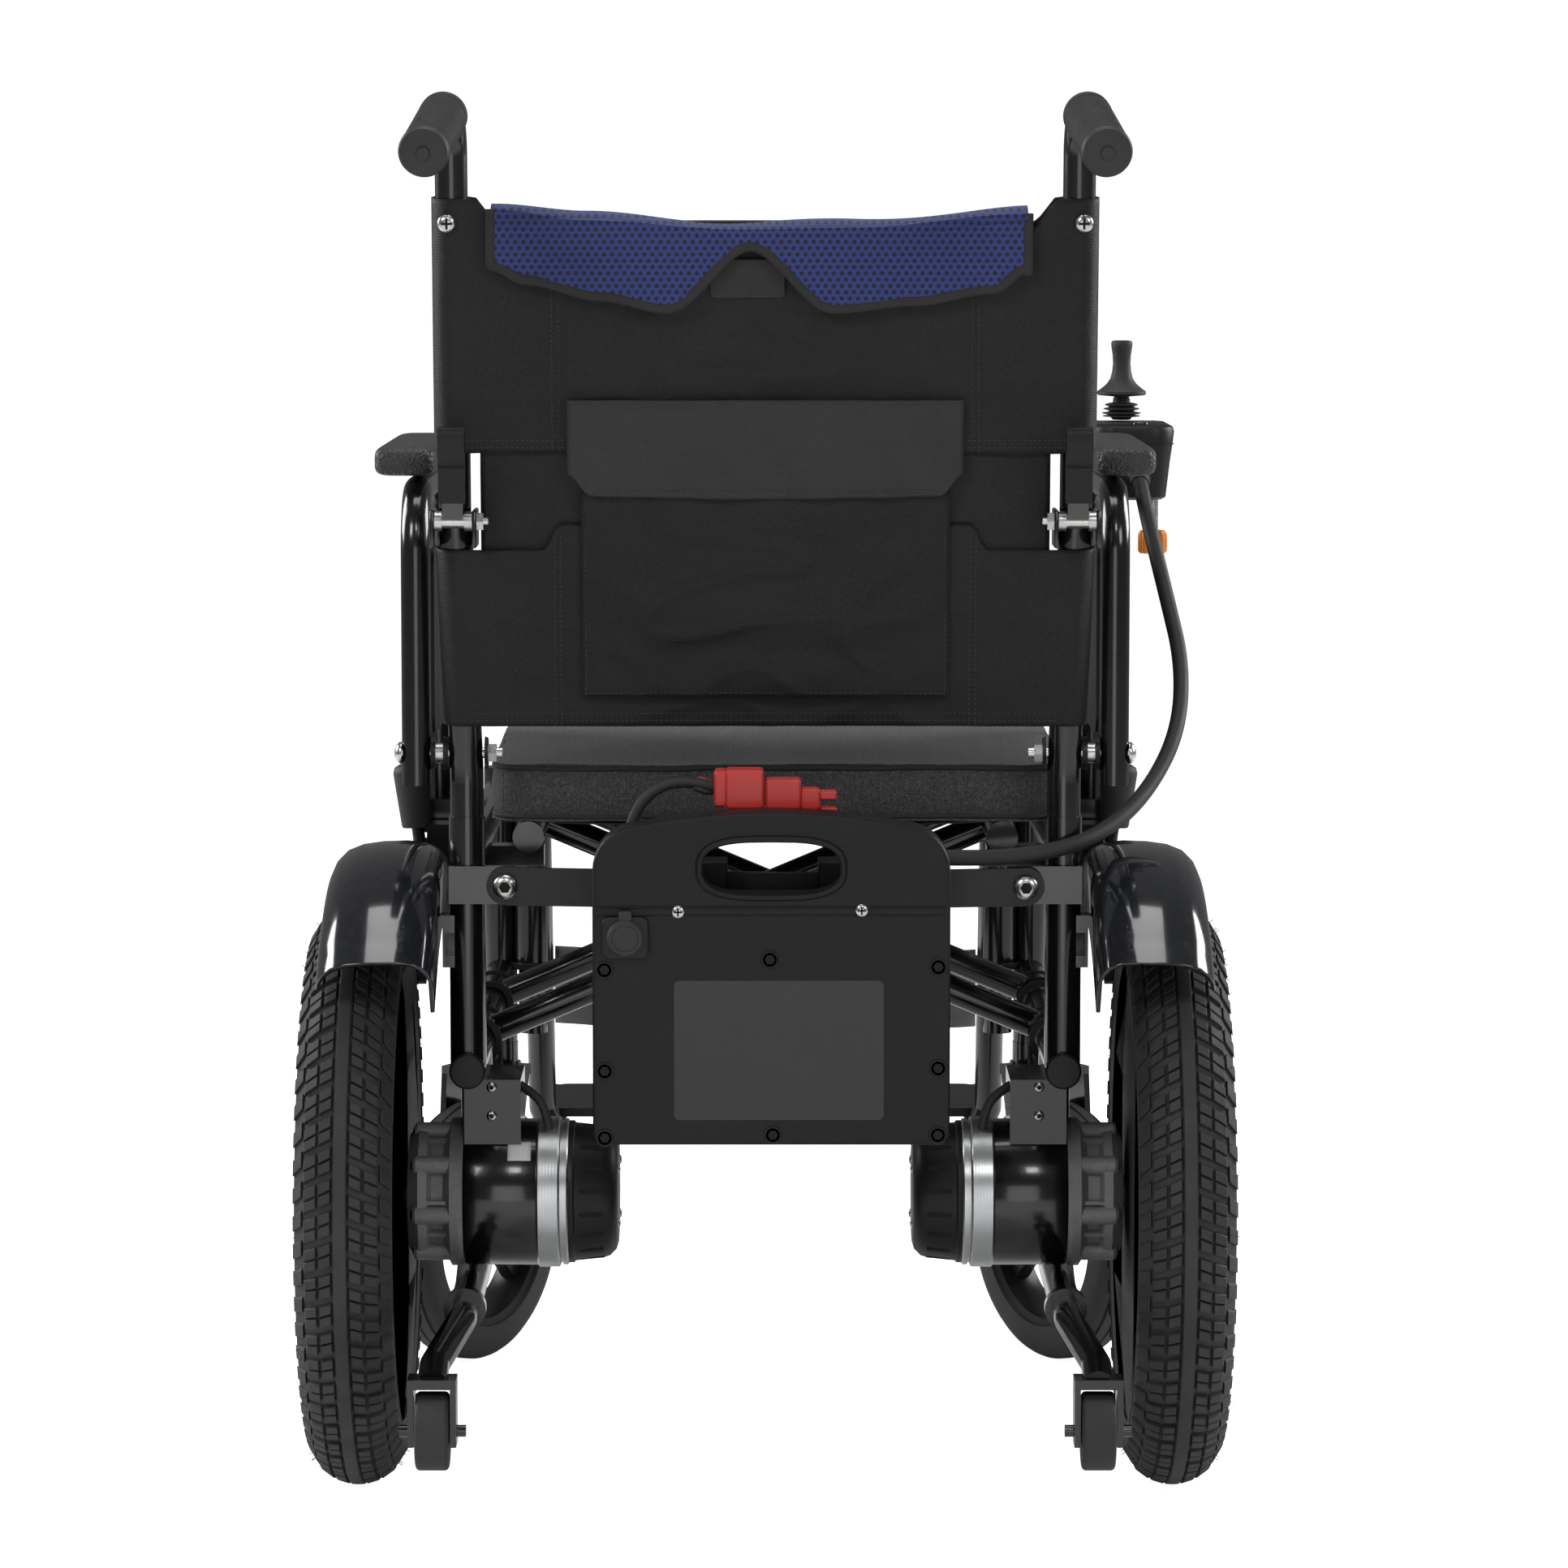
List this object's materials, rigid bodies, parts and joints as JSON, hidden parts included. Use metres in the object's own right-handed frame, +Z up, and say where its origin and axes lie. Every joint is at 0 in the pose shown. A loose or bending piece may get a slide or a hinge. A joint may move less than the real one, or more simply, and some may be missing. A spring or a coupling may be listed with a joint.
{
  "type": "power wheelchair",
  "caption": "Folding power wheelchair with rear motor drive, lift-out battery, half-fold back, flip-up armrests and footplates.",
  "frame": {"origin": "on the floor, in the middle of the chair outline", "axes": "+X the user's right, +Y forward, +Z up"},
  "size_m": [0.629, 1.002, 0.9629],
  "materials": {
    "frame_black": "gloss powder coat",
    "rubber_black": "matte moulded rubber",
    "tyre": "pneumatic tyre",
    "rim_black": "satin",
    "plastic_black": "satin moulded",
    "plastic_gloss": "gloss moulded",
    "cast_aluminium": "rough casting",
    "zinc": "zinc plated",
    "nylon_black": "coated oxford nylon",
    "knit_black": "woven knit",
    "mesh_blue": "air mesh",
    "strap_grey": "webbing cloth",
    "battery_plastic": "fine textured",
    "red_plastic": "moulded",
    "cable_black": "soft sheath",
    "pad_vinyl": "pebbled foam skin"
  },
  "bodies": {
    "left_frame": {"side_frame_left": "frame_black", "gearbox_left": "cast_aluminium", "drive_motor_left": "frame_black", "fender_left": "plastic_gloss", "anti_tip_tube_left": "frame_black", "footrest_hanger_left": "frame_black", "frame_fasteners_left": "zinc", "back_sling_lower": "nylon_black", "calf_strap": "strap_grey"},
    "right_frame": {"side_frame_right": "frame_black", "gearbox_right": "cast_aluminium", "drive_motor_right": "frame_black", "fender_right": "plastic_gloss", "anti_tip_tube_right": "frame_black", "footrest_hanger_right": "frame_black", "frame_fasteners_right": "zinc", "joystick_cable": "cable_black"},
    "cross_brace_left": {"cross_brace_left": "frame_black"},
    "cross_brace_right": {"cross_brace_right": "frame_black"},
    "seat": {"seat_sling": "nylon_black", "seat_cushion": "knit_black"},
    "battery": {"battery_case": "battery_plastic", "battery_cover": "battery_plastic", "battery_cells": "plastic_black", "battery_lead": "cable_black", "power_connector": "red_plastic"},
    "crossbar_left": {"crossbar_left": "frame_black"},
    "crossbar_right": {"crossbar_right": "frame_black"},
    "back_left": {"back_post_left": "frame_black", "push_grip_left": "rubber_black", "back_sling_upper": "nylon_black", "mesh_back_pad": "mesh_blue"},
    "back_right": {"back_post_right": "frame_black", "push_grip_right": "rubber_black"},
    "armrest_left": {"armrest_frame_left": "frame_black", "armrest_pad_left": "pad_vinyl", "skirt_guard_left": "plastic_black"},
    "armrest_right": {"armrest_frame_right": "frame_black", "armrest_pad_right": "pad_vinyl", "skirt_guard_right": "plastic_black", "controller_housing": "plastic_black"},
    "power_button": {"power_button": "plastic_gloss"},
    "joystick_boot": {"joystick_boot": "rubber_black"},
    "joystick": {"joystick": "plastic_black"},
    "wheel_left": {"drive_rim_left": "rim_black", "drive_tyre_left": "tyre"},
    "caster_fork_left": {"caster_fork_left": "frame_black"},
    "caster_wheel_left": {"caster_wheel_left": "rubber_black"},
    "anti_tip_wheel_left": {"anti_tip_wheel_left": "rubber_black"},
    "brake_lever_left": {"brake_lever_left": "plastic_black"},
    "footplate_left": {"footplate_left": "plastic_black"},
    "release_lever_left": {"release_lever_left": "plastic_black"},
    "wheel_right": {"drive_rim_right": "rim_black", "drive_tyre_right": "tyre"},
    "caster_fork_right": {"caster_fork_right": "frame_black"},
    "caster_wheel_right": {"caster_wheel_right": "rubber_black"},
    "anti_tip_wheel_right": {"anti_tip_wheel_right": "rubber_black"},
    "brake_lever_right": {"brake_lever_right": "plastic_black"},
    "footplate_right": {"footplate_right": "plastic_black"},
    "release_lever_right": {"release_lever_right": "plastic_black"}
  },
  "joints": [
    {"name": "frame_fold", "type": "hinge", "parent": "left_frame", "child": "cross_brace_left", "pos_m": [-0.205, 0, 0.295], "axis": [0, -1, 0], "range_deg": [0, 26], "deforming": ["seat_sling", "seat_cushion", "back_sling_lower", "back_sling_upper", "mesh_back_pad", "calf_strap"]},
    {"name": "cross_pivot", "type": "hinge", "parent": "cross_brace_left", "child": "cross_brace_right", "pos_m": [0, 0, 0.38088], "axis": [0, -1, 0], "range_deg": [-52, 0]},
    {"name": "right_frame_pivot", "type": "hinge", "parent": "cross_brace_right", "child": "right_frame", "pos_m": [0.205, 0, 0.295], "axis": [0, -1, 0], "range_deg": [0, 26]},
    {"name": "seat_level", "type": "hinge", "parent": "cross_brace_left", "child": "seat", "pos_m": [0, 0, 0.38088], "axis": [0, -1, 0], "range_deg": [-26, 0]},
    {"name": "battery_lift", "type": "slide", "parent": "seat", "child": "battery", "axis": [0, 0, 1], "range_m": [0, 0.16]},
    {"name": "crossbar_fold_left", "type": "hinge", "parent": "left_frame", "child": "crossbar_left", "pos_m": [-0.178, 0, 0.424], "axis": [0, 1, 0], "range_deg": [0, 47]},
    {"name": "crossbar_fold_right", "type": "hinge", "parent": "right_frame", "child": "crossbar_right", "pos_m": [0.178, 0, 0.424], "axis": [0, -1, 0], "range_deg": [0, 47]},
    {"name": "back_fold", "type": "hinge", "parent": "left_frame", "child": "back_left", "pos_m": [0, -0.31639, 0.675], "axis": [1, 0, 0], "range_deg": [0, 95]},
    {"name": "back_fold_right", "type": "hinge", "parent": "right_frame", "child": "back_right", "pos_m": [0, -0.31639, 0.675], "axis": [1, 0, 0], "range_deg": [0, 95]},
    {"name": "armrest_flip_left", "type": "hinge", "parent": "left_frame", "child": "armrest_left", "pos_m": [-0.205, -0.274, 0.5135], "axis": [1, 0, 0], "range_deg": [0, 95]},
    {"name": "armrest_flip_right", "type": "hinge", "parent": "right_frame", "child": "armrest_right", "pos_m": [0.205, -0.274, 0.5135], "axis": [1, 0, 0], "range_deg": [0, 95], "deforming": ["joystick_cable"]},
    {"name": "power_button_press", "type": "slide", "parent": "armrest_right", "child": "power_button", "axis": [0, 0, -1], "range_m": [0, 0.0015], "stiffness_N_per_m": 300},
    {"name": "joystick_pitch", "type": "hinge", "parent": "armrest_right", "child": "joystick_boot", "pos_m": [0.264, 0.051, 0.731], "axis": [1, 0, 0], "range_deg": [-15, 15], "stiffness_Nm_per_rad": 0.05},
    {"name": "joystick_roll", "type": "hinge", "parent": "joystick_boot", "child": "joystick", "pos_m": [0.264, 0.051, 0.731], "axis": [0, 1, 0], "range_deg": [-15, 15], "stiffness_Nm_per_rad": 0.05},
    {"name": "drive_wheel_spin_left", "type": "hinge", "parent": "left_frame", "child": "wheel_left", "pos_m": [-0.282, -0.244, 0.203], "axis": [1, 0, 0], "continuous": true},
    {"name": "caster_swivel_left", "type": "hinge", "parent": "left_frame", "child": "caster_fork_left", "pos_m": [-0.205, 0.196, 0], "axis": [0, 0, 1], "continuous": true},
    {"name": "caster_spin_left", "type": "hinge", "parent": "caster_fork_left", "child": "caster_wheel_left", "pos_m": [-0.225, 0.16136, 0.1], "axis": [0.866, -0.5, 0], "continuous": true},
    {"name": "anti_tip_spin_left", "type": "hinge", "parent": "left_frame", "child": "anti_tip_wheel_left", "pos_m": [-0.219, -0.475, 0.085], "axis": [1, 0, 0], "continuous": true},
    {"name": "parking_brake_left", "type": "hinge", "parent": "left_frame", "child": "brake_lever_left", "pos_m": [-0.246, -0.048, 0.408], "axis": [-1, 0, 0], "range_deg": [0, 10]},
    {"name": "footplate_flip_left", "type": "hinge", "parent": "left_frame", "child": "footplate_left", "pos_m": [-0.174, 0, 0.148], "axis": [0, -1, 0], "range_deg": [0, 85]},
    {"name": "back_release_left", "type": "hinge", "parent": "back_left", "child": "release_lever_left", "pos_m": [-0.211, -0.33139, 0.699], "axis": [-1, 0, 0], "range_deg": [0, 12], "stiffness_Nm_per_rad": 0.6},
    {"name": "drive_wheel_spin_right", "type": "hinge", "parent": "right_frame", "child": "wheel_right", "pos_m": [0.282, -0.244, 0.203], "axis": [1, 0, 0], "continuous": true},
    {"name": "caster_swivel_right", "type": "hinge", "parent": "right_frame", "child": "caster_fork_right", "pos_m": [0.205, 0.196, 0], "axis": [0, 0, 1], "continuous": true},
    {"name": "caster_spin_right", "type": "hinge", "parent": "caster_fork_right", "child": "caster_wheel_right", "pos_m": [0.225, 0.16136, 0.1], "axis": [0.866, 0.5, 0], "continuous": true},
    {"name": "anti_tip_spin_right", "type": "hinge", "parent": "right_frame", "child": "anti_tip_wheel_right", "pos_m": [0.219, -0.475, 0.085], "axis": [1, 0, 0], "continuous": true},
    {"name": "parking_brake_right", "type": "hinge", "parent": "right_frame", "child": "brake_lever_right", "pos_m": [0.246, -0.048, 0.408], "axis": [-1, 0, 0], "range_deg": [0, 10]},
    {"name": "footplate_flip_right", "type": "hinge", "parent": "right_frame", "child": "footplate_right", "pos_m": [0.174, 0, 0.148], "axis": [0, 1, 0], "range_deg": [0, 85]},
    {"name": "back_release_right", "type": "hinge", "parent": "back_right", "child": "release_lever_right", "pos_m": [0.211, -0.33139, 0.699], "axis": [-1, 0, 0], "range_deg": [0, 12], "stiffness_Nm_per_rad": 0.6}
  ],
  "couplings": [
    {"joint": "cross_pivot", "follows": "frame_fold", "ratio": -2},
    {"joint": "right_frame_pivot", "follows": "frame_fold", "ratio": 1},
    {"joint": "seat_level", "follows": "frame_fold", "ratio": -1},
    {"joint": "crossbar_fold_left", "follows": "frame_fold", "ratio": 1.8077},
    {"joint": "crossbar_fold_right", "follows": "frame_fold", "ratio": 1.8077},
    {"joint": "back_fold_right", "follows": "back_fold", "ratio": 1}
  ]
}
